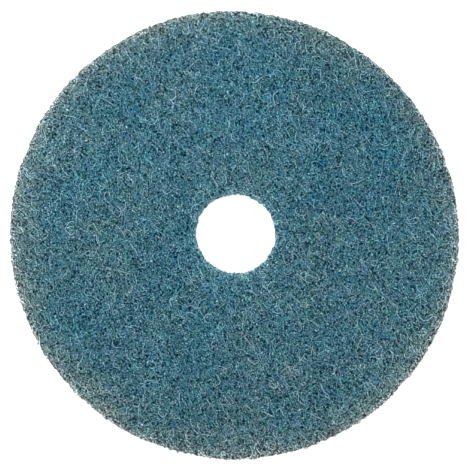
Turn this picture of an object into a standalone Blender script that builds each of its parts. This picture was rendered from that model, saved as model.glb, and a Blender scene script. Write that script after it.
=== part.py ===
"""A surface conditioning disc: a ring of non-woven abrasive web, die-cut from one felted mat.

Metres, +Z up. The origin is the middle of the back face, and the working face looks along +Z.
"""

import math

import bpy
from mathutils import Vector, noise

# The ring, as the die cuts it
OUTER_DIAMETER = 0.125
HOLE_DIAMETER = 0.0222
THICKNESS = 0.0055
FRONT_EDGE_RADIUS = 0.0009
BACK_EDGE_RADIUS = 0.0004

# The cut web relaxes: the hole sits a little off the middle, and both outlines lose their roundness
HOLE_OFFSET = Vector((0.00038, 0.00035))
RIM_OVAL = 0.00022
RIM_OVAL_ANGLE = math.radians(-39)
RIM_LOBE = 0.00009
RIM_LOBE_ANGLE = math.radians(-7)
HOLE_OVAL = 0.0001
HOLE_OVAL_ANGLE = math.radians(-25)

# The loft of the working face: low mounds with smaller lumps on them
MOUND_HEIGHT = 0.00022
MOUND_WIDTH = 0.016
LUMP_HEIGHT = 0.00012
LUMP_WIDTH = 0.005

# How finely the shape is divided
SECTORS = 120
RING_WIDTH = 0.0034
EDGE_SEGMENTS = 4

WEB_COLOUR = (0.062, 0.155, 0.196, 1.0)
WEB_ROUGHNESS = 0.85


def clear_scene():
    for obj in list(bpy.data.objects):
        bpy.data.objects.remove(obj, do_unlink=True)


def rounded_corner(centre_x, centre_z, radius, start_degrees):
    """Points of a quarter circle that runs clockwise, as (x, z), from the start angle."""
    points = []
    for i in range(EDGE_SEGMENTS + 1):
        angle = math.radians(start_degrees - 90 * i / EDGE_SEGMENTS)
        points.append((centre_x + radius * math.cos(angle), centre_z + radius * math.sin(angle)))
    return points


def web_section():
    """The closed section of the ring, as (x, z): over the front, down the rim, back up the hole."""
    inner = HOLE_DIAMETER / 2
    outer = OUTER_DIAMETER / 2
    front = FRONT_EDGE_RADIUS
    back = BACK_EDGE_RADIUS
    face_start = inner + front
    face_width = outer - front - face_start
    rings = math.ceil(face_width / RING_WIDTH)
    section = rounded_corner(face_start, THICKNESS - front, front, 180)
    section += [(face_start + face_width * i / rings, THICKNESS) for i in range(1, rings)]
    section += rounded_corner(outer - front, THICKNESS - front, front, 90)
    section += rounded_corner(outer - back, back, back, 0)
    section += rounded_corner(inner + back, back, back, -90)
    return section


def turned_ring(section):
    """The section turned about the Z axis, as a plain mesh."""
    count = len(section)
    mesh = bpy.data.meshes.new("web_section")
    edges = [(i, (i + 1) % count) for i in range(count)]
    mesh.from_pydata([(x, 0.0, z) for x, z in section], edges, [])
    guide = bpy.data.objects.new("web_section", mesh)
    bpy.context.scene.collection.objects.link(guide)
    screw = guide.modifiers.new("turn", "SCREW")
    screw.axis = "Z"
    screw.steps = SECTORS
    screw.render_steps = SECTORS
    screw.use_merge_vertices = True
    screw.merge_threshold = 0.00001
    graph = bpy.context.evaluated_depsgraph_get()
    ring = bpy.data.meshes.new_from_object(guide.evaluated_get(graph))
    bpy.data.objects.remove(guide, do_unlink=True)
    bpy.data.meshes.remove(mesh)
    ring.name = "abrasive_disc"
    return ring


def lobe(height, count, angle, peak):
    """How far a wavy outline stands out at an angle, with a number of peaks round the ring."""
    return height * math.cos(count * (angle - peak))


def loft(x, y):
    """How far the working face stands above or below its mean level at a point."""
    place = Vector((x, y, 0.0))
    mounds = MOUND_HEIGHT * noise.noise(place / MOUND_WIDTH)
    lumps = LUMP_HEIGHT * noise.noise(place / LUMP_WIDTH)
    return mounds + lumps


def relax_web(mesh):
    """Turns the true ring into the relaxed one, and leaves the back face flat."""
    inner = HOLE_DIAMETER / 2
    width = OUTER_DIAMETER / 2 - inner
    for vertex in mesh.vertices:
        x, y, z = vertex.co
        radius = math.hypot(x, y)
        angle = math.atan2(y, x)
        outward = (radius - inner) / width
        rim = lobe(RIM_OVAL, 2, angle, RIM_OVAL_ANGLE) + lobe(RIM_LOBE, 3, angle, RIM_LOBE_ANGLE)
        hole = lobe(HOLE_OVAL, 2, angle, HOLE_OVAL_ANGLE)
        radius += outward * rim + (1 - outward) * hole
        x = radius * math.cos(angle) + (1 - outward) * HOLE_OFFSET.x
        y = radius * math.sin(angle) + (1 - outward) * HOLE_OFFSET.y
        vertex.co = (x, y, z + loft(x, y) * z / THICKNESS)


def web_material():
    material = bpy.data.materials.new("nonwoven_web")
    material.use_nodes = True
    shader = material.node_tree.nodes["Principled BSDF"]
    shader.inputs["Base Color"].default_value = WEB_COLOUR
    shader.inputs["Roughness"].default_value = WEB_ROUGHNESS
    shader.inputs["Metallic"].default_value = 0.0
    material.diffuse_color = WEB_COLOUR
    return material


def abrasive_disc(collection):
    mesh = turned_ring(web_section())
    relax_web(mesh)
    mesh.materials.append(web_material())
    mesh.shade_smooth()
    mesh.set_sharp_from_angle(angle=math.radians(40))
    disc = bpy.data.objects.new("abrasive_disc", mesh)
    collection.objects.link(disc)
    return disc


def main():
    clear_scene()
    parts = bpy.data.collections.new("surface_conditioning_disc")
    bpy.context.scene.collection.children.link(parts)
    abrasive_disc(parts)


main()
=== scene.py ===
"""The looks of the surface conditioning disc: a felted mat of curly, resin-bonded fibres.

Metres, +Z up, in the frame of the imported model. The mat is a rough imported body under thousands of
fibres. Each fibre is a closed three-sided tube that curls over the ring's skin, dips in and out of
the mat, and dives into it at both ends.
"""

import math
from dataclasses import dataclass

import bpy
import numpy as np
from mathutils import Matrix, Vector, noise


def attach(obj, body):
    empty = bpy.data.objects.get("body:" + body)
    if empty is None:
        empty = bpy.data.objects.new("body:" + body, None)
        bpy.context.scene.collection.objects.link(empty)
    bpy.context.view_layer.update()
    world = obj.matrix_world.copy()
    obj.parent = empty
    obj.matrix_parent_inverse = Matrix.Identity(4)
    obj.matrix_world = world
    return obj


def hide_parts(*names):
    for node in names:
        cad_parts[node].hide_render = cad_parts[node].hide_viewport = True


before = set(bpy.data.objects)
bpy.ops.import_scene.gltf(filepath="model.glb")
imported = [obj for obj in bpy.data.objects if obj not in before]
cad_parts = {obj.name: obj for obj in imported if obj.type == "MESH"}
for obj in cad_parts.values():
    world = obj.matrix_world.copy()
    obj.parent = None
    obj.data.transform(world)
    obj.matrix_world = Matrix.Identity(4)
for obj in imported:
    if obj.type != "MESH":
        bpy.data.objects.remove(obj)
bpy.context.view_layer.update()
NODE = "abrasive_disc"

# The ring's own sizes, as the part has them
OUTER_RADIUS = 0.0625
HOLE_RADIUS = 0.0111
THICKNESS = 0.0055
FRONT_EDGE_RADIUS = 0.0009
BACK_EDGE_RADIUS = 0.0004
HOLE_OFFSET = (0.00038, 0.00035)
RIM_OVAL, RIM_OVAL_ANGLE = 0.00022, math.radians(-39)
RIM_LOBE, RIM_LOBE_ANGLE = 0.00009, math.radians(-7)
HOLE_OVAL, HOLE_OVAL_ANGLE = 0.0001, math.radians(-25)
MOUND_HEIGHT, MOUND_WIDTH = 0.00022, 0.016
LUMP_HEIGHT, LUMP_WIDTH = 0.00012, 0.005

# How many points the section has round each of its four rounded corners
CORNER_POINTS = 10

# The way along which the carded fibres tend to lie, as an angle from +X
WEB_DIRECTION = math.radians(120)

# How ragged the cut walls are: height, size and seed of each layer of unevenness, and how much of
# them the hole's wall has
FRAYS = ((0.0003, 0.011, 3.0), (0.0002, 0.0035, 7.0), (0.00034, 0.0013, 11.0), (0.00022, 0.0007, 17.0))
HOLE_FRAY_SHARE = 0.7

# Steps that spread a row of numbers evenly over a square, however many there are
EVEN_STEPS = (0.7548776662, 0.5698402910)

# Every fibre: how its width varies, how long its waves are, how far its ends dive, how much thinner
# they are, and the depth at which its painted shade, darker the deeper it lies, is full
WIDTH_RANGE = (0.75, 1.25)
WAVE_LENGTH = 0.0019
END_DIVE = 0.0004
END_TAPER = 0.45
FULL_SHADE_DEPTH = 0.0008

# The least that a fibre's middle line lies below the skin, before it stands out, and above the back,
# as shares of its height
LEAST_SUNK = 0.4
LEAST_RAISED = 0.8

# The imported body: the size of its grid and of its lumps, how deep it lies under the skin, and how
# high its lumps are, at the cut walls and how much more on the faces
BODY_GRID = 0.0012
BODY_LUMP = 0.0018
WALL_DEPTH, FACE_EXTRA_DEPTH = 0.0002, 0.0004
WALL_LUMPS, FACE_EXTRA_LUMPS = 0.0001, 0.00015
LEAST_DEPTH = 0.0001

# The photograph's view: the frame's width in metres at the front face, and where its middle lies
FRAME_WIDTH = 0.1300
FRAME_MIDDLE = (-0.000338, 0.000605)
CAMERA_DISTANCE = 1.2

# How strong the sky and the floor are, as light and as the camera sees them
SKY_STRENGTH = 0.745
SKY_SEEN = 1.02
FLOOR_GREY = (0.6, 0.6, 0.6, 1.0)
FLOOR_SEEN = 0.78

# Colours of a strand, from the deepest shade of the mat to a bare pale fibre
STRAND_COLOURS = (
    (0.00, (0.0002, 0.028, 0.051, 1)),
    (0.25, (0.011, 0.102, 0.152, 1)),
    (0.50, (0.0815, 0.246, 0.314, 1)),
    (0.80, (0.168, 0.386, 0.474, 1)),
    (1.00, (0.400, 0.685, 0.780, 1)),
)
BARE_COLOURS = ((0.0, (0.200, 0.500, 0.620, 1)), (1.0, (0.580, 0.880, 0.980, 1)))
# The imported body, from the painted shade of its gaps and pits to its lightest strands
BODY_COLOURS = ((0.0, (0.0006, 0.028, 0.050, 1)), (1.0, (0.110, 0.330, 0.420, 1)))

# What makes a strand light or dark: a level for all, its own tone, painted shade by its depth, and
# a painted highlight along its top over painted shade on its sides
LEVEL = 0.127
TONE_SHARE = 0.25
DEPTH_SHADE_SHARE = -0.15
CREST_HIGHLIGHT_SHARE = 0.97

# Dark pits of painted shade in the gaps between the strands: how densely they lie, how they are
# drawn out upright, how crooked they are, where they begin and are full, and how dark they are on a
# shallow and on a deep strand and on the imported body
PIT_SCALE = 1000
PIT_UPRIGHT = (1, 1, 0.3)
PIT_CROOKED = (900, 0.0008)
PIT_EDGE = (0.42, 0.15)
SHALLOW_PIT_SHADE = -0.35
DEEP_PIT_SHADE = -1.0
BODY_PIT_SHADE = -0.45

# Strands drawn on the imported body: how densely they lie, how crooked they are, how far from a
# strand's middle its gap of painted shade begins, and the lightness of gap and middle
BODY_STRANDS = 1300
BODY_CROOKED = (1400, 0.0005)
BODY_STRAND_RANGE = (0.3, 0.0, 0.25, 0.95)

# Grain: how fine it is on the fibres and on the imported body, and how strong it is on that
FIBRE_GRAIN = 2400
BODY_GRAIN, BODY_GRAIN_SHARE = 2000, 3.0

# The surface of all of them
ROUGHNESS_SPREAD = 0.15
BUMP_STRENGTH = 0.6
SHEEN = 0.04

# Patches of the mat, from cool to warm, and their noise: scale, detail and roughness
PATCH_COLOURS = ((0.3, (0.81, 0.99, 1.055, 1)), (0.7, (1.205, 1.01, 0.945, 1)))
PATCH_NOISE = (65, 3.0, 0.6)

# Smaller drifts of hue: scale and detail of the noise, which part of it counts, and its tint
BOTH_WAYS = (0.3, 0.7, -1.0, 1.0)
PEAKS_ONLY = (0.66, 0.80, 0.0, 1.0)
DRIFTS = (
    (210, 2.0, BOTH_WAYS, (-0.027, 0.040, -0.025)),
    (380, 2.0, BOTH_WAYS, (-0.10, 0.0, 0.035)),
    (330, 1.0, PEAKS_ONLY, (-0.55, -0.22, -0.04)),
    (30, 4.0, BOTH_WAYS, (0.08, 0.08, 0.08)),
)

# Painted light: how the colour slopes from the middle to the right and to the top, as the light falls
# off across the disc
PAINTED_LIGHT_SLOPES = ((-0.106, -0.058, -0.043), (-0.042, 0.026, 0.049))

# Where the rim looks different, as the distances from the middle where that starts and is full
# Paler and greyer towards the rim and lighter at its front edge: painted light that the edge catches,
# and on the cut wall also the wall's own pale grey
PALE_RIM = (0.0475, 0.0617)
RIM_BAND = (0.0515, 0.0575)
CUT_RIM = (0.0612, 0.0621)

# The same round the hole, from the hole's own middle
PALE_HOLE = (0.0136, HOLE_RADIUS)
HOLE_BAND = (0.0195, 0.0125)
PRESSED_HOLE = (0.0128, 0.0116)
CUT_HOLE = (0.0119, 0.0112)

# Heights where the front edge starts and is full, and how much of the paler rim and hole is left
# at the back: both heights, then both shares
FRONT_EDGE = (0.0036, 0.0048)
RIM_TO_BACK = (0.0, 0.0015, 0.45, 1.0)
HOLE_TO_BACK = (0.0, THICKNESS, 0.35, 1.0)

# How steeply the rim gets paler with its painted light, and how alike the pressed strands are at the
# hole, and how light
RIM_STEEPNESS = 3.5
PRESSED_SHARE = 0.30
PRESSED_LEVEL = 0.55

# Tints where a share is full. The four edges also fade: how far at most, towards which grey, and
# then their tint
STRAND_TINT = (-0.03, 0.0, 0.01)
RIM_BAND_TINT = (0.01, -0.02, -0.05)
HOLE_BAND_TINT = (0.17, 0.15, 0.15)
RIM_GREY = (0.86, 1.045, 0.99)
PALE_RIM_LOOK = (0.40, RIM_GREY, (0.47, 0.54, 0.55))
CUT_RIM_LOOK = (0.40, (1.0, 1.0, 0.97), (0.56, 0.52, 0.50))
PALE_HOLE_LOOK = (0.10, (1.0, 1.0, 1.0), (0.48, 0.40, 0.37))
CUT_HOLE_LOOK = (0.15, (1.0, 1.0, 1.0), (0.48, 0.44, 0.40))
RIM_FADE_BEFORE_DRIFTS = 0.45


def section_table():
    """Places along the closed section, from the foot of the hole's wall: distance, radius, height,
    and the outward normal's radial and vertical parts."""
    corners = (
        (HOLE_RADIUS, THICKNESS, FRONT_EDGE_RADIUS, 180),
        (OUTER_RADIUS, THICKNESS, FRONT_EDGE_RADIUS, 90),
        (OUTER_RADIUS, 0.0, BACK_EDGE_RADIUS, 0),
        (HOLE_RADIUS, 0.0, BACK_EDGE_RADIUS, -90),
    )
    rows = []
    for x, z, rounding, start in corners:
        centre_x = x + rounding if x == HOLE_RADIUS else x - rounding
        centre_z = z - rounding if z == THICKNESS else z + rounding
        for turned in np.linspace(0, 90, CORNER_POINTS):
            angle = math.radians(start - turned)
            out, up = math.cos(angle), math.sin(angle)
            rows.append((centre_x + rounding * out, centre_z + rounding * up, out, up))
    # The walk starts at the foot of the hole's wall, which is also its last point.
    radii, heights, out, up = np.array([rows[-1]] + rows).T
    along = np.r_[0, np.cumsum(np.hypot(np.diff(radii), np.diff(heights)))]
    return along, radii, heights, out, up


ALONG, RADII, HEIGHTS, OUT, UP = section_table()
AROUND_SECTION = ALONG[-1]
FACE_START = ALONG[CORNER_POINTS]
FACE_END = ALONG[CORNER_POINTS + 1]
BACK_START = ALONG[3 * CORNER_POINTS]


def section(u):
    """Radius, height and outward normal at distances along the section."""
    u = np.mod(u, AROUND_SECTION)
    return tuple(np.interp(u, ALONG, column) for column in (RADII, HEIGHTS, OUT, UP))


def lobe(height, count, angle, peak):
    """How far a wavy outline stands out at an angle, with a number of peaks round the ring."""
    return height * np.cos(count * (angle - peak))


def noise_at(x, y, z):
    """Smooth noise between -1 and 1 at many points."""
    flat = np.stack([x.ravel(), y.ravel(), z.ravel()], 1)
    return np.array([noise.noise(Vector(p)) for p in flat.tolist()]).reshape(x.shape)


def loft(x, y):
    """How far the working face stands above or below its mean level."""
    level = np.zeros_like(x)
    mounds = MOUND_HEIGHT * noise_at(x / MOUND_WIDTH, y / MOUND_WIDTH, level)
    return mounds + LUMP_HEIGHT * noise_at(x / LUMP_WIDTH, y / LUMP_WIDTH, level)


def fray(angle, z):
    """How far a cut wall stands in or out at an angle and a height."""
    x, y = OUTER_RADIUS * np.cos(angle), OUTER_RADIUS * np.sin(angle)
    return sum(height * noise_at(x / size, y / size, z / size + seed) for height, size, seed in FRAYS)


def skin(u, angle):
    """Points on the relaxed ring's skin, and the outward normals there."""
    radius, z, out, up = section(u)
    share = np.where(radius < OUTER_RADIUS / 2, HOLE_FRAY_SHARE, 1.0)
    radius = radius + out * share * fray(angle, z)
    outward = (radius - HOLE_RADIUS) / (OUTER_RADIUS - HOLE_RADIUS)
    rim = lobe(RIM_OVAL, 2, angle, RIM_OVAL_ANGLE) + lobe(RIM_LOBE, 3, angle, RIM_LOBE_ANGLE)
    hole = lobe(HOLE_OVAL, 2, angle, HOLE_OVAL_ANGLE)
    radius = radius + outward * rim + (1 - outward) * hole
    x = radius * np.cos(angle) + (1 - outward) * HOLE_OFFSET[0]
    y = radius * np.sin(angle) + (1 - outward) * HOLE_OFFSET[1]
    points = np.stack([x, y, z + loft(x, y) * z / THICKNESS], -1)
    normals = np.stack([out * np.cos(angle), out * np.sin(angle), up], -1)
    return points, normals


@dataclass
class Layer:
    """A group of fibres: how many, where along the section they start, and how each one runs."""

    count: int
    start: float
    end: float
    # The tube's width, and its height as a share of that
    width: float
    roundness: float = 0.75
    # How many steps a fibre takes over the skin, and how long each one is
    steps: int = 4
    step: float = 0.0005
    # How deep it lies, how much that differs between fibres, and how far it waves up and down
    depth: float = 0.00012
    spread: float = 0.00018
    wave: float = 0.00012
    # How far the boldest ones stand out of the skin
    proud: float = 0.0
    # How curly they are, how fast the curl changes, and how hard the web's direction pulls
    bend: float = 1000.0
    wobble: float = 700.0
    combed: float = 0.0
    # The range of their tones
    darkest: float = 0.0
    palest: float = 1.0


def places(rng, layer):
    """Where the fibres start, spread evenly over the skin's area: distance and angle."""
    # The skin's area up to each distance goes by the radius there.
    u = np.linspace(layer.start, layer.end, 400)
    area = np.cumsum(section(u)[0])
    number = np.arange(layer.count)
    across, around = (np.mod(rng.random() + number * step, 1) for step in EVEN_STEPS)
    return np.interp(across, area / area[-1], u), around * 2 * math.pi


def wander(rng, layer):
    """The fibres' walks over the skin: distance and angle at each point, one row a fibre."""
    u, angle = places(rng, layer)
    heading = rng.random(layer.count) * 2 * math.pi
    curl = rng.normal(0, layer.bend, layer.count)
    us, angles = [u], [angle]
    for _ in range(layer.steps):
        radius, _, _, up = section(u)
        curl = curl + rng.normal(0, layer.wobble, layer.count)
        combing = layer.combed * np.sin(2 * (WEB_DIRECTION - angle - heading))
        heading = heading + (curl + combing - np.sin(heading) * up / radius) * layer.step
        u = u + np.cos(heading) * layer.step
        angle = angle + np.sin(heading) * layer.step / radius
        us.append(u)
        angles.append(angle)
    return np.stack(us, 1), np.stack(angles, 1)


def lay_out_strips(mesh, count, points):
    """A map that gives each fibre a cell of its own, with its three sides one above another."""
    margin, used = 0.08, 0.84
    cells = math.ceil(math.sqrt(count))
    number = np.arange(count)
    left = (number % cells)[:, None, None, None] + margin
    foot = (number // cells)[:, None, None, None] + margin
    along = np.arange(points - 1)[None, :, None, None] + np.array([0, 0, 1, 1])
    across = np.arange(3)[None, None, :, None] + np.array([0, 1, 1, 0])
    u = left + along * used / (points - 1) + 0 * across
    v = foot + across * used / 3 + 0 * along
    sides = np.stack([u, v], -1).reshape(-1, 2)
    cap_v = np.array([0.0, used / 2, used])
    cap_u = np.array([0.0, margin / 2, 0.0])
    first = np.stack([left[:, 0, 0] - cap_u[::-1], foot[:, 0, 0] + cap_v[::-1]], -1)
    last = np.stack([left[:, 0, 0] + used + cap_u, foot[:, 0, 0] + cap_v], -1)
    everything = np.concatenate([sides, first.reshape(-1, 2), last.reshape(-1, 2)]) / cells
    layer = mesh.uv_layers.new(name="OFBake", do_init=False)
    layer.uv.foreach_set("vector", everything.astype(np.float32).ravel())


def tubes(name, path, up, widths, heights, values):
    """One closed three-sided tube round each path, as a mesh.

    path and up are (fibres, points, 3), widths and heights are (fibres, points), and values holds
    one number for each point under each attribute's name."""
    count, points = path.shape[:2]
    ahead = np.gradient(path, axis=1)
    ahead /= np.linalg.norm(ahead, axis=2, keepdims=True)
    side = np.cross(ahead, up)
    side /= np.linalg.norm(side, axis=2, keepdims=True)
    top = np.cross(side, ahead)
    half = side * widths[..., None] / 2
    rise = top * heights[..., None]
    ring = np.stack([path - half - rise / 3, path + half - rise / 3, path + rise * 2 / 3], 2)
    index = np.arange(count * points * 3).reshape(count, points, 3)
    here, there = index[:, :-1], index[:, 1:]
    turned = (1, 2, 0)
    sides = np.stack([here, here[..., turned], there[..., turned], there], -1).reshape(-1, 4)
    ends = np.concatenate([index[:, 0][:, ::-1], index[:, -1]])
    corners = np.concatenate([sides.ravel(), ends.ravel()]).astype(np.int32)
    sizes = np.r_[np.full(len(sides), 4), np.full(len(ends), 3)]
    mesh = bpy.data.meshes.new(name)
    mesh.vertices.add(count * points * 3)
    mesh.vertices.foreach_set("co", ring.astype(np.float32).ravel())
    mesh.loops.add(len(corners))
    mesh.loops.foreach_set("vertex_index", corners)
    mesh.polygons.add(len(sizes))
    mesh.polygons.foreach_set("loop_start", np.r_[0, np.cumsum(sizes)[:-1]].astype(np.int32))
    mesh.polygons.foreach_set("use_smooth", np.ones(len(sizes), bool))
    for key, numbers in values.items():
        set_attribute(mesh, key, np.repeat(numbers.ravel(), 3))
    # The third corner of each ring is the tube's top.
    set_attribute(mesh, "crest", np.tile([0, 0, 1], count * points))
    lay_out_strips(mesh, count, points)
    mesh.update(calc_edges=True)
    if mesh.validate():
        raise RuntimeError(f"{name} had faulty faces")
    return mesh


def set_attribute(mesh, key, numbers):
    """Gives each vertex of a mesh its own number, under a name that materials can use."""
    layer = mesh.attributes.new(key, "FLOAT", "POINT")
    layer.data.foreach_set("value", numbers.astype(np.float32))


def add(name, data):
    """A new object in the scene."""
    obj = bpy.data.objects.new(name, data)
    bpy.context.scene.collection.objects.link(obj)
    return obj


def dress(obj, material):
    """Gives a piece its material, and sets it on the one body."""
    obj.data.materials.append(material)
    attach(obj, "root")


def fibres(name, seed, layer, material):
    """The fibres of a layer, as one piece."""
    rng = np.random.default_rng(seed)
    us, angles = wander(rng, layer)
    points, normals = skin(us, angles)
    t = np.linspace(0, 1, layer.steps + 1)[None]
    from_middle = np.abs(2 * t - 1)
    own_depth = np.abs(layer.depth + rng.normal(0, layer.spread, (layer.count, 1)))
    phase = rng.random((layer.count, 1)) * 2 * math.pi
    waves = layer.wave * np.sin(2 * math.pi * t * layer.steps * layer.step / WAVE_LENGTH + phase)
    below = own_depth + waves + END_DIVE * from_middle ** 4
    own_width = layer.width * rng.uniform(*WIDTH_RANGE, (layer.count, 1))
    widths = own_width * (1 - END_TAPER * from_middle ** 6)
    heights = widths * layer.roundness
    below = np.maximum(below, heights * LEAST_SUNK)
    stands_out = rng.random((layer.count, 1)) ** 4 * layer.proud
    path = points - normals * (below - stands_out * (1 - from_middle ** 2))[..., None]
    path[..., 2] = np.maximum(path[..., 2], heights * LEAST_RAISED)
    tone = rng.uniform(layer.darkest, layer.palest, (layer.count, 1)) + 0 * t
    hue = rng.uniform(-1, 1, (layer.count, 1)) + 0 * t
    values = {"tone": tone, "hue": hue, "deep": np.clip(below / FULL_SHADE_DEPTH, 0, 1)}
    dress(add(name, tubes(name, path, normals, widths, heights, values)), material)


def vertex_vectors(mesh, key):
    """The places or the normals of a mesh, one row a vertex."""
    numbers = np.empty(len(mesh.vertices) * 3, np.float32)
    mesh.vertices.foreach_get(key, numbers)
    return numbers.reshape(-1, 3)


def web_body(material):
    """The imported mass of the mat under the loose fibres, as a rough closed body."""
    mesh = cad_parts[NODE].data.copy()
    mesh.materials.clear()
    obj = add("web_body", mesh)
    remesh = obj.modifiers.new("even_grid", "REMESH")
    remesh.mode = "VOXEL"
    remesh.voxel_size = BODY_GRID
    graph = bpy.context.evaluated_depsgraph_get()
    even = bpy.data.meshes.new_from_object(obj.evaluated_get(graph))
    obj.modifiers.clear()
    obj.data = even
    bpy.data.meshes.remove(mesh)
    even.name = "web_body"
    co = vertex_vectors(even, "co")
    normals = vertex_vectors(even, "normal")
    flatness = np.abs(normals[:, 2]) ** 2
    mean_depth = WALL_DEPTH + FACE_EXTRA_DEPTH * flatness
    lumps = (WALL_LUMPS + FACE_EXTRA_LUMPS * flatness) * noise_at(*(co.T / BODY_LUMP))
    co = co - normals * np.maximum(mean_depth + lumps, LEAST_DEPTH)[:, None]
    even.vertices.foreach_set("co", co.astype(np.float32).ravel())
    even.shade_smooth()
    even.update()
    dress(obj, material)
    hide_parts(NODE)


class Shading:
    """A material's or world's node tree, with a short call for each kind of node that it needs."""

    def __init__(self, owner):
        self.owner = owner
        owner.use_nodes = True
        self.nodes = owner.node_tree.nodes
        self.links = owner.node_tree.links

    def put(self, socket, value):
        """Feeds a socket from another node, or with a plain value."""
        if isinstance(value, bpy.types.NodeSocket):
            self.links.new(value, socket)
        else:
            socket.default_value = value

    def place(self):
        """Where a point of the surface lies, in metres."""
        return self.nodes.new("ShaderNodeTexCoord").outputs["Object"]

    def split(self, place):
        """The X, Y and Z of a place."""
        node = self.nodes.new("ShaderNodeSeparateXYZ")
        self.put(node.inputs[0], place)
        return node.outputs

    def attribute(self, name):
        """A number that the mesh holds under a name, or 0 if it has none."""
        node = self.nodes.new("ShaderNodeAttribute")
        node.attribute_name = name
        return node.outputs["Fac"]

    def worked_out(self, kind, operation, values):
        """The outputs of a node that works out one operation."""
        node = self.nodes.new(kind)
        node.operation = operation
        for socket, value in zip(node.inputs, values):
            self.put(socket, value)
        return node.outputs

    def math(self, operation, *values):
        """An operation on numbers."""
        return self.worked_out("ShaderNodeMath", operation, values)[0]

    def vector(self, operation, *values):
        """An operation on places or colours."""
        answer = "Value" if operation == "LENGTH" else "Vector"
        return self.worked_out("ShaderNodeVectorMath", operation, values)[answer]

    def noise(self, place, scale, detail=2.0, roughness=0.5, output="Fac"):
        """Soft noise, mostly between 0.3 and 0.7."""
        node = self.nodes.new("ShaderNodeTexNoise")
        node.inputs["Scale"].default_value = scale
        node.inputs["Detail"].default_value = detail
        node.inputs["Roughness"].default_value = roughness
        self.put(node.inputs["Vector"], place)
        return node.outputs[output]

    def grain(self, place, scale, share):
        """Fine specks, some above 0 and some below."""
        speckle = self.math("SUBTRACT", self.noise(place, scale, 1.0), 0.5)
        return self.math("MULTIPLY", speckle, share)

    def crooked(self, place, base, scale, reach):
        """The base shifted by noise, so that what is drawn on it gets crooked."""
        shift = self.noise(place, scale, output="Color")
        return self.vector("MULTIPLY_ADD", shift, (reach, reach, reach), base)

    def cells(self, place, scale, feature):
        """The distance from the middle or the edge of the nearest of many irregular cells."""
        node = self.nodes.new("ShaderNodeTexVoronoi")
        node.feature = feature
        node.inputs["Scale"].default_value = scale
        self.put(node.inputs["Vector"], place)
        return node.outputs["Distance"]

    def span(self, value, start, end, low=0.0, high=1.0):
        """Runs from low to high while the value runs from start to end, and stops there."""
        node = self.nodes.new("ShaderNodeMapRange")
        numbers = {"From Min": start, "From Max": end, "To Min": low, "To Max": high}
        for key, number in numbers.items():
            node.inputs[key].default_value = number
        self.put(node.inputs["Value"], value)
        return node.outputs["Result"]

    def ramp(self, value, stops):
        """The colour that belongs to a value, between two or more stops."""
        node = self.nodes.new("ShaderNodeValToRGB")
        elements = node.color_ramp.elements
        elements[0].position, elements[0].color = stops[0]
        elements[1].position, elements[1].color = stops[-1]
        for position, colour in stops[1:-1]:
            elements.new(position).color = colour
        self.put(node.inputs["Fac"], value)
        return node.outputs["Color"]

    def tinted(self, colour, share, tint):
        """The colour times one plus the tint, as far as the share goes."""
        return self.vector("MULTIPLY", colour, self.vector("MULTIPLY_ADD", share, tint, (1, 1, 1)))

    def faded(self, colour, share, most, grey):
        """The colour with some of its hue gone, the most where the share is 1, towards a tinted grey
        that is as light as the colour."""
        lightness = self.nodes.new("ShaderNodeRGBToBW")
        self.put(lightness.inputs[0], colour)
        as_light = self.vector("MULTIPLY", lightness.outputs[0], grey)
        way = self.vector("SUBTRACT", as_light, colour)
        towards = self.vector("MULTIPLY", way, self.math("MULTIPLY", share, most))
        return self.vector("ADD", colour, towards)

    def edged(self, colour, share, most, grey, tint):
        """The colour faded and then tinted, both as far as the share goes."""
        return self.tinted(self.faded(colour, share, most, grey), share, tint)

    def seen(self):
        """1 where the camera sees the surface, straight or in gloss or glass, and 0 for other rays."""
        rays = self.nodes.new("ShaderNodeLightPath").outputs
        straight = self.math("MAXIMUM", rays["Is Camera Ray"], rays["Is Glossy Ray"])
        return self.math("MAXIMUM", straight, rays["Is Transmission Ray"])


def drifting(tree, colour, place):
    """The colour with its patches, its smaller drifts of hue and its painted slopes of light over the
    disc.
    """
    patches = tree.ramp(tree.noise(place, *PATCH_NOISE), PATCH_COLOURS)
    colour = tree.vector("MULTIPLY", colour, patches)
    for scale, detail, part, tint in DRIFTS:
        share = tree.span(tree.noise(place, scale, detail), *part)
        colour = tree.tinted(colour, share, tint)
    # Painted light: the colour slopes across the disc, darker to the right, as the light falls off
    for axis, tint in zip(tree.split(place), PAINTED_LIGHT_SLOPES):
        share = tree.span(axis, -OUTER_RADIUS, OUTER_RADIUS, -1.0, 1.0)
        colour = tree.tinted(colour, share, tint)
    return colour


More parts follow.
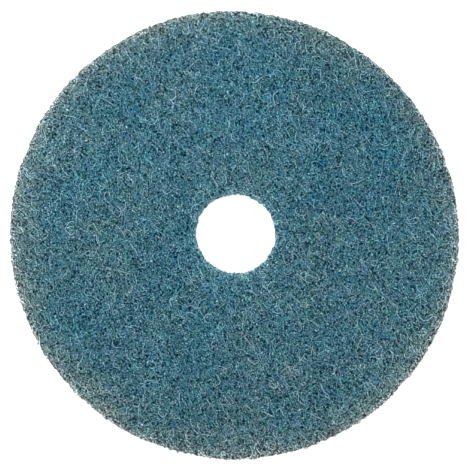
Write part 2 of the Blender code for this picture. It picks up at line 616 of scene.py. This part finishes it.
def web_colour(tree, place, value, stops):
    """The colour of the web: the stops by a value, with drifts of hue and painted slopes of light, and
    paler at both edges, round the rim with painted light.
    """
    height = tree.split(place)[2]
    near_front = tree.span(height, *FRONT_EDGE)
    flat = tree.vector("MULTIPLY", place, (1, 1, 0))
    from_middle = tree.vector("LENGTH", flat)
    from_hole = tree.vector("LENGTH", tree.vector("SUBTRACT", flat, (*HOLE_OFFSET, 0)))

    # Each of these shares is 1 where its part of the web is reached in full.
    pale_rim = tree.math("POWER", tree.span(from_middle, *PALE_RIM), RIM_STEEPNESS)
    pale_rim = tree.math("MULTIPLY", pale_rim, tree.span(height, *RIM_TO_BACK))
    rim_band = tree.span(from_middle, *RIM_BAND)
    cut_rim = tree.math("MULTIPLY", tree.span(from_middle, *CUT_RIM), near_front)
    pale_hole = tree.span(from_hole, *PALE_HOLE)
    pale_hole = tree.math("MULTIPLY", pale_hole, tree.span(height, *HOLE_TO_BACK))
    hole_band = tree.span(from_hole, *HOLE_BAND)
    cut_hole = tree.math("MULTIPLY", tree.span(from_hole, *CUT_HOLE), near_front)

    pressed = tree.span(from_hole, *PRESSED_HOLE, 0.0, PRESSED_SHARE)
    pressed = tree.math("MULTIPLY", pressed, near_front)
    to_level = tree.math("SUBTRACT", PRESSED_LEVEL, value)
    colour = tree.ramp(tree.math("MULTIPLY_ADD", to_level, pressed, value), stops)

    colour = tree.tinted(colour, tree.attribute("hue"), STRAND_TINT)
    # Painted light round the rim, here and below: it fades towards grey, grows paler, and is lighter
    # at its front edge
    colour = tree.faded(colour, pale_rim, RIM_FADE_BEFORE_DRIFTS, RIM_GREY)
    colour = drifting(tree, colour, place)
    colour = tree.edged(colour, pale_rim, *PALE_RIM_LOOK)
    colour = tree.tinted(colour, rim_band, RIM_BAND_TINT)
    colour = tree.edged(colour, cut_rim, *CUT_RIM_LOOK)
    colour = tree.edged(colour, pale_hole, *PALE_HOLE_LOOK)
    colour = tree.tinted(colour, hole_band, HOLE_BAND_TINT)
    return tree.edged(colour, cut_hole, *CUT_HOLE_LOOK)


def finish_shader(tree, colour, place, roughness, bump_scale, bump_distance):
    """A dull surface in a colour, with fine grain in its bumps and in how rough it is."""
    shader = tree.nodes["Principled BSDF"]
    tree.put(shader.inputs["Base Color"], colour)
    speckle = tree.noise(place, bump_scale, 3.0, 0.6)
    rough = tree.span(speckle, 0.0, 1.0, roughness - ROUGHNESS_SPREAD, roughness + ROUGHNESS_SPREAD)
    tree.put(shader.inputs["Roughness"], rough)
    bump = tree.nodes.new("ShaderNodeBump")
    bump.inputs["Strength"].default_value = BUMP_STRENGTH
    bump.inputs["Distance"].default_value = bump_distance
    tree.put(bump.inputs["Height"], speckle)
    tree.put(shader.inputs["Normal"], bump.outputs["Normal"])
    shader.inputs["Specular IOR Level"].default_value = SHEEN


def pits(tree, place):
    """1 in the middle of each dark pit of painted shade between the strands, and 0 away from it."""
    upright = tree.vector("MULTIPLY", place, PIT_UPRIGHT)
    bent = tree.crooked(place, upright, *PIT_CROOKED)
    return tree.span(tree.cells(bent, PIT_SCALE, "F1"), *PIT_EDGE)


def fibre_material(name, colours, grain_share, pit_share):
    """Strands that differ from one another, with painted shade where they dip and in dark pits between
    them, grain, and a painted highlight along each top over painted shade on its sides.
    """
    tree = Shading(bpy.data.materials.new(name))
    place = tree.place()
    deep = tree.attribute("deep")
    own = tree.math("MULTIPLY", tree.math("SUBTRACT", tree.attribute("tone"), 0.5), TONE_SHARE)
    # Painted shade: a strand darkens the deeper it lies
    dip = tree.math("MULTIPLY", deep, DEPTH_SHADE_SHARE)
    # Painted shade: dark pits between the strands, darker on deeper strands
    pit_depth = tree.span(deep, 0.0, 0.5, SHALLOW_PIT_SHADE * pit_share, DEEP_PIT_SHADE * pit_share)
    pit = tree.math("MULTIPLY", pits(tree, place), pit_depth)
    grain = tree.grain(place, FIBRE_GRAIN, grain_share)
    value = tree.math("ADD", tree.math("ADD", own, dip), tree.math("ADD", grain, pit))
    value = tree.math("ADD", value, LEVEL)
    # Painted highlight along each tube's top, and painted shade on its sides
    crest = tree.span(tree.attribute("crest"), 0.0, 0.4, -0.5, 0.5)
    value = tree.math("MULTIPLY_ADD", crest, CREST_HIGHLIGHT_SHARE, value)
    colour = web_colour(tree, place, value, colours)
    finish_shader(tree, colour, place, roughness=0.55, bump_scale=5200, bump_distance=0.00005)
    return tree.owner


def body_material():
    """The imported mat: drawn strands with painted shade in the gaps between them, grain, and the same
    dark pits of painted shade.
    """
    tree = Shading(bpy.data.materials.new("packed_web"))
    place = tree.place()
    bent = tree.crooked(place, place, *BODY_CROOKED)
    # Painted shade in the gaps between the drawn strands
    strand = tree.span(tree.cells(bent, BODY_STRANDS, "DISTANCE_TO_EDGE"), *BODY_STRAND_RANGE)
    grain = tree.grain(place, BODY_GRAIN, BODY_GRAIN_SHARE)
    # Painted shade: the same dark pits on the imported body
    pit = tree.math("MULTIPLY", pits(tree, place), BODY_PIT_SHADE)
    value = tree.math("ADD", tree.math("ADD", strand, grain), pit)
    colour = web_colour(tree, place, value, BODY_COLOURS)
    finish_shader(tree, colour, place, roughness=0.7, bump_scale=2400, bump_distance=0.0002)
    return tree.owner


def floor():
    """A white floor that shows as plain white to the camera and keeps the disc's soft shadow."""
    mesh = bpy.data.meshes.new("floor")
    reach = 3.0
    corners = [(-reach, -reach, 0), (reach, -reach, 0), (reach, reach, 0), (-reach, reach, 0)]
    mesh.from_pydata(corners, [], [(0, 1, 2, 3)])
    obj = add("floor", mesh)
    obj.location.z = -0.00002
    tree = Shading(bpy.data.materials.new("floor"))
    tree.nodes.clear()
    diffuse = tree.nodes.new("ShaderNodeBsdfDiffuse")
    diffuse.inputs["Color"].default_value = FLOOR_GREY
    glow = tree.nodes.new("ShaderNodeEmission")
    tree.put(glow.inputs["Strength"], tree.math("MULTIPLY", tree.seen(), FLOOR_SEEN))
    both = tree.nodes.new("ShaderNodeAddShader")
    tree.put(both.inputs[0], diffuse.outputs[0])
    tree.put(both.inputs[1], glow.outputs[0])
    out = tree.nodes.new("ShaderNodeOutputMaterial")
    tree.put(out.inputs["Surface"], both.outputs[0])
    mesh.materials.append(tree.owner)


def lights():
    """An even pale sky, and one large soft lamp above, towards the top left of the photograph."""
    world = bpy.data.worlds.new("studio")
    bpy.context.scene.world = world
    tree = Shading(world)
    background = tree.nodes["Background"]
    background.inputs["Color"].default_value = (0.98, 0.99, 1.0, 1.0)
    strength = tree.math("MULTIPLY_ADD", tree.seen(), SKY_SEEN - SKY_STRENGTH, SKY_STRENGTH)
    tree.put(background.inputs["Strength"], strength)
    data = bpy.data.lights.new("key", "AREA")
    data.shape = "DISK"
    data.size = 0.5
    data.energy = 3.5
    lamp = add("key", data)
    lamp.location = (-0.31, 0.29, 0.7)
    lamp.rotation_euler = (-lamp.location).to_track_quat("-Z", "Y").to_euler()


def camera():
    """The photograph's straight view from above, through a long lens."""
    data = bpy.data.cameras.new("camera")
    data.sensor_width = 36.0
    data.lens = data.sensor_width * CAMERA_DISTANCE / FRAME_WIDTH
    data.clip_start, data.clip_end = 0.01, 20.0
    obj = add("camera", data)
    obj.location = (*FRAME_MIDDLE, THICKNESS + CAMERA_DISTANCE)
    bpy.context.scene.camera = obj
    bpy.context.scene.view_settings.view_transform = "Standard"


camera()
floor()
lights()
strands = fibre_material("bonded_fibres", STRAND_COLOURS, grain_share=2.40, pit_share=1.35)
loose = fibre_material("loose_fibres", STRAND_COLOURS, grain_share=0.8, pit_share=0.0)
bare = fibre_material("bare_fibres", BARE_COLOURS, grain_share=1.2, pit_share=0.0)
web_body(body_material())

# The mat of the front, which also covers both rounded edges
over_edge = 0.0022
face = Layer(3050, FACE_START - over_edge, FACE_END + over_edge, width=0.00027, roundness=0.4,
             steps=8, bend=750, wobble=500, combed=1500)
for number in range(1, 6):
    fibres(f"face_fibres_{number}", 10 + number, face, strands)

# The cut walls and the back
rim = Layer(1700, FACE_END + 0.0010, BACK_START, width=0.00024, proud=0.0004)
fibres("rim_fibres", 31, rim, strands)
wall = Layer(560, 0.0, FACE_START - 0.0005, width=0.00022, proud=0.0002)
fibres("hole_fibres", 32, wall, strands)
back = Layer(1200, BACK_START, AROUND_SECTION, width=0.0003, step=0.0009, depth=0.0001,
             spread=0.0001, wave=0.0, bend=400, wobble=200)
fibres("back_fibres", 33, back, strands)

# Loose fibres on the front: short bright ones, long pale ones, and more of these near the rim
pale = Layer(60, FACE_START, FACE_END, width=0.00045, steps=3, step=0.0003, depth=0.0,
             spread=0.00002, wave=0.00003, proud=0.00015, darkest=0.5, palest=1.5)
fibres("pale_fibres", 34, pale, bare)
stray = Layer(1350, FACE_START, FACE_END, width=0.00025, steps=10, depth=0.00002, spread=0.00005,
              wave=0.00005, bend=600, wobble=350, combed=500, darkest=0.75, palest=1.95)
fibres("stray_fibres", 35, stray, loose)
edge = Layer(200, FACE_END - 0.009, FACE_END, width=0.00022, steps=10, depth=0.00002,
             spread=0.00005, wave=0.00005, bend=600, wobble=350, darkest=0.8, palest=1.7)
fibres("edge_fibres", 36, edge, loose)
